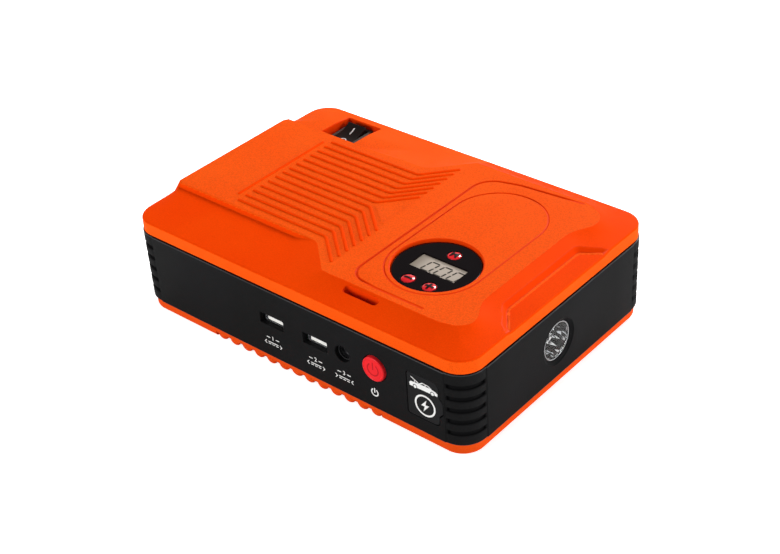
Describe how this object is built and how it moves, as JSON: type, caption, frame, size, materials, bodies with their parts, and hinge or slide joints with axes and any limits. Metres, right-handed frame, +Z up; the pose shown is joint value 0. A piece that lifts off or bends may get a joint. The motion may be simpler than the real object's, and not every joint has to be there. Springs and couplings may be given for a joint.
{
  "type": "jump starter pack",
  "caption": "Portable car jump starter with a tyre compressor: orange covers round a black socket band, round pressure gauge, rocker switch, side lamp and rounded feet",
  "frame": {"origin": "on the surface the pack rests on, under the middle of its box, the power button counted in", "axes": "+X along the long side towards the lamp, +Y from the socket side to the back, +Z up"},
  "size_m": [0.1944, 0.135, 0.0541],
  "materials": {
    "orange_shell": "finely grained moulding",
    "black_shell": "finely grained moulding",
    "black_rubber": "matte",
    "red_plastic": "satin",
    "gloss_black": "polished",
    "display_glass": "liquid crystal display behind a clear window",
    "white_plastic": "satin",
    "steel": "plated",
    "chrome": "mirror",
    "brass": "turned",
    "aluminium": "cast and machined",
    "clear_lens": "clear",
    "circuit_board": "lacquered",
    "cell_foil": "laminated foil",
    "blue_plastic": "satin",
    "silicone": "satin",
    "red_sheath": "matte"
  },
  "bodies": {
    "case": {"top_cover": "orange_shell", "bottom_cover": "orange_shell", "socket_band": "black_shell", "case_screw_1": "steel", "case_screw_2": "steel", "case_screw_3": "steel", "case_screw_4": "steel", "case_screw_5": "steel", "case_screw_6": "steel", "usb_shell_1": "steel", "usb_shell_2": "steel", "usb_tongue_1": "white_plastic", "usb_tongue_2": "white_plastic", "charge_jack": "black_shell", "charge_jack_pin": "steel", "power_switch": "black_shell", "port_board": "circuit_board", "starter_socket": "blue_plastic", "starter_contact_1": "brass", "starter_contact_2": "brass", "starter_lead_1": "black_rubber", "starter_lead_2": "red_sheath", "lamp_lens": "clear_lens", "lamp_reflector": "chrome", "lamp_led": "white_plastic", "lamp_board": "aluminium", "gauge_fascia": "gloss_black", "gauge_display": "display_glass", "gauge_board": "circuit_board", "rocker_housing": "black_shell", "main_board": "circuit_board", "start_relay": "blue_plastic", "heat_sink": "aluminium", "inductor": "brass", "battery_cell_1": "cell_foil", "battery_cell_2": "cell_foil", "battery_cell_3": "cell_foil", "battery_cell_4": "cell_foil", "battery_tray": "black_shell", "bus_bar_negative": "steel", "bus_bar_positive": "steel", "compressor_motor": "steel", "compressor_frame": "steel", "air_cylinder": "aluminium", "cylinder_head": "aluminium", "air_outlet": "brass", "air_tube": "silicone"},
    "power": {"power_button": "red_plastic"},
    "mode": {"mode_button": "red_plastic"},
    "minus": {"minus_button": "red_plastic"},
    "plus": {"plus_button": "red_plastic"},
    "rocker": {"rocker_paddle": "black_shell"},
    "flap": {"starter_flap": "black_rubber"},
    "crank": {"crank_gear": "white_plastic"},
    "pinion": {"motor_pinion": "brass"},
    "piston": {"piston_and_rod": "aluminium"}
  },
  "joints": [
    {"name": "power_press", "type": "slide", "parent": "case", "child": "power", "axis": [0, 1, 0], "range_m": [0, 0.0006], "stiffness_N_per_m": 300},
    {"name": "mode_press", "type": "slide", "parent": "case", "child": "mode", "axis": [0, 0, -1], "range_m": [0, 0.0005], "stiffness_N_per_m": 200},
    {"name": "minus_press", "type": "slide", "parent": "case", "child": "minus", "axis": [0, 0, -1], "range_m": [0, 0.0005], "stiffness_N_per_m": 200},
    {"name": "plus_press", "type": "slide", "parent": "case", "child": "plus", "axis": [0, 0, -1], "range_m": [0, 0.0005], "stiffness_N_per_m": 200},
    {"name": "rocker_tilt", "type": "hinge", "parent": "case", "child": "rocker", "pos_m": [-0.06625, 0.0505, 0.0456], "axis": [-1, 0, 0], "range_deg": [0, 24]},
    {"name": "flap_open", "type": "hinge", "parent": "case", "child": "flap", "pos_m": [0.0663, -0.0661, 0.02455], "axis": [0, 0, -1], "range_deg": [0, 120], "stiffness_Nm_per_rad": 0.001},
    {"name": "crank_spin", "type": "hinge", "parent": "case", "child": "crank", "pos_m": [-0.048, -0.00155, 0.0257], "axis": [0, 1, 0], "continuous": true},
    {"name": "pinion_spin", "type": "hinge", "parent": "case", "child": "pinion", "pos_m": [-0.032, -0.00155, 0.0257], "axis": [0, 1, 0], "continuous": true},
    {"name": "piston_stroke", "type": "slide", "parent": "case", "child": "piston", "axis": [-1, 0, 0], "range_m": [0, 0.012]}
  ],
  "couplings": [
    {"joint": "pinion_spin", "follows": "crank_spin", "ratio": -3}
  ]
}
